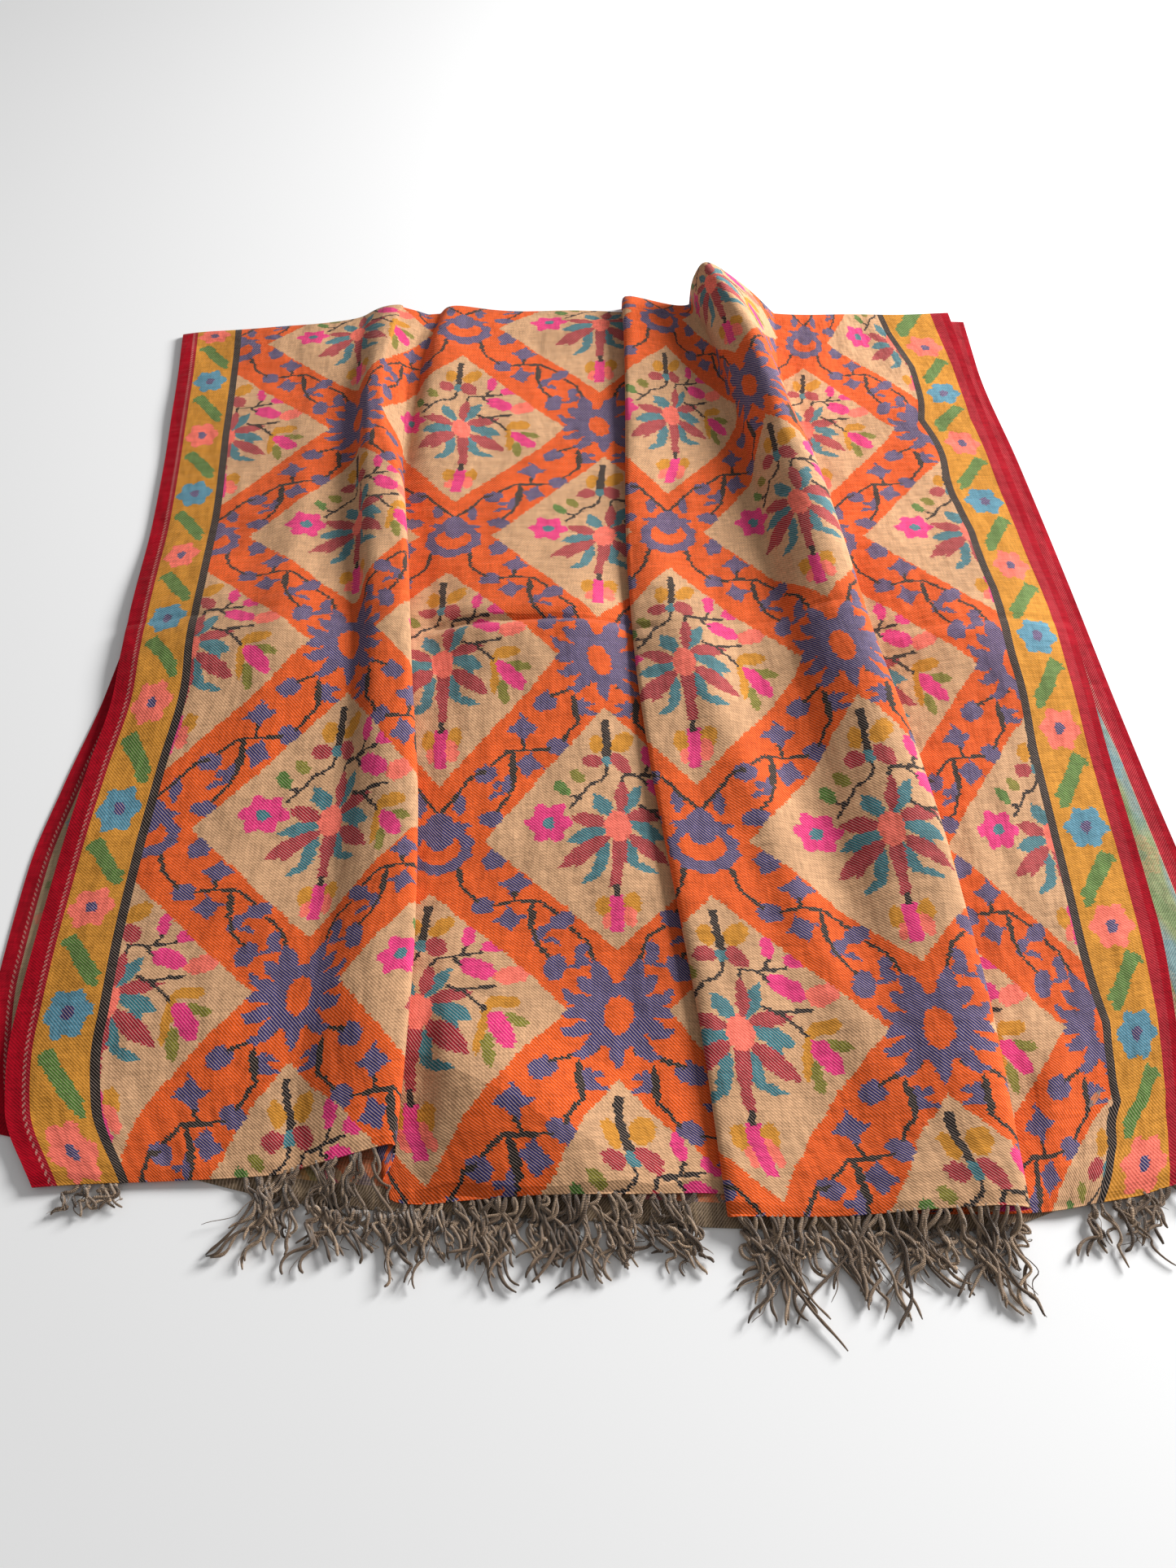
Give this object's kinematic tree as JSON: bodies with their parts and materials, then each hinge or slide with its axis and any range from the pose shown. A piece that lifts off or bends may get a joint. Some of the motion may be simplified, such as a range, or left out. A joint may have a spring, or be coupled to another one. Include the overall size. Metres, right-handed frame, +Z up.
{
  "type": "kani shawl",
  "caption": "Patterned woven shawl folded once in half and laid flat, its upper half in loose lengthwise pleats, with a yarn fringe at its near end.",
  "frame": {"origin": "on the surface the shawl lies on, under the middle of the whole laid shawl with its fringe", "axes": "+Y along the cloth from its fringed ends to the fold at the back, +X to the right seen from the fringe, +Z up"},
  "size_m": [0.8391, 1.036, 0.06],
  "materials": {
    "cloth_face": "matte twill-tapestry wool with a soft nap, beige and orange ground with woven flowers and crimson selvedges",
    "cloth_reverse": "the same cloth seen from its reverse, paler and flatter, crimson at its edges",
    "fringe_yarn": "loosely twisted grey-brown wool yarn, dull and slightly hairy"
  },
  "bodies": {
    "root": {"upper_half": "cloth_face", "lower_half": "cloth_reverse", "fringe_lower": "fringe_yarn", "fringe_corner": "fringe_yarn", "fringe_left": "fringe_yarn", "fringe_second": "fringe_yarn", "fringe_third": "fringe_yarn", "fringe_right": "fringe_yarn"}
  },
  "joints": []
}
